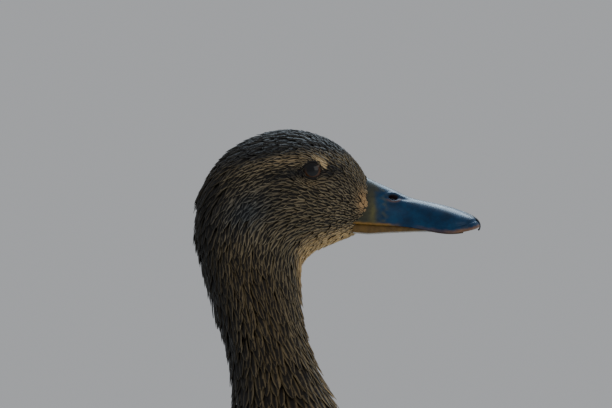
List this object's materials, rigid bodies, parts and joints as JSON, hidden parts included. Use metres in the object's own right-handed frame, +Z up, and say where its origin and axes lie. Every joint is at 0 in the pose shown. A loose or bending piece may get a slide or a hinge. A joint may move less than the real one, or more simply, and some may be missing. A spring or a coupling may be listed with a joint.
{
  "type": "mallard duck hen, standing life-size model",
  "caption": "Life-size still model of a standing mallard hen with streaked brown plumage, slate bill, folded wings, short tail and webbed orange feet.",
  "frame": {"origin": "on the floor, under the middle of the bird's length, in its plane of symmetry", "axes": "+X towards the tip of the bill, +Y to the bird's left, +Z up"},
  "size_m": [0.3783, 0.1392, 0.3658],
  "materials": {
    "plumage": "dark brown feathers streaked and scaled with buff",
    "bill": "satin slate-blue horny skin, olive at the base, orange-brown at the cutting edge",
    "nail": "polished dark horn",
    "eye": "clear gloss over a dark brown iris",
    "leg_skin": "scaly orange skin",
    "claw": "dark horn"
  },
  "bodies": {
    "root": {"head": "plumage", "neck": "plumage", "breast": "plumage", "trunk": "plumage", "rump": "plumage", "tail": "plumage", "wing_left": "plumage", "wing_right": "plumage", "wing_tip_left": "plumage", "wing_tip_right": "plumage", "thigh_left": "plumage", "thigh_right": "plumage", "bill_upper": "bill", "bill_lower": "bill", "bill_nail": "nail", "eye_left": "eye", "eye_right": "eye", "shank_left": "leg_skin", "shank_right": "leg_skin", "foot_left": "leg_skin", "foot_right": "leg_skin", "hallux_left": "leg_skin", "hallux_right": "leg_skin", "claw_inner_left": "claw", "claw_inner_right": "claw", "claw_middle_left": "claw", "claw_middle_right": "claw", "claw_outer_left": "claw", "claw_outer_right": "claw", "claw_hallux_left": "claw", "claw_hallux_right": "claw"}
  },
  "joints": []
}
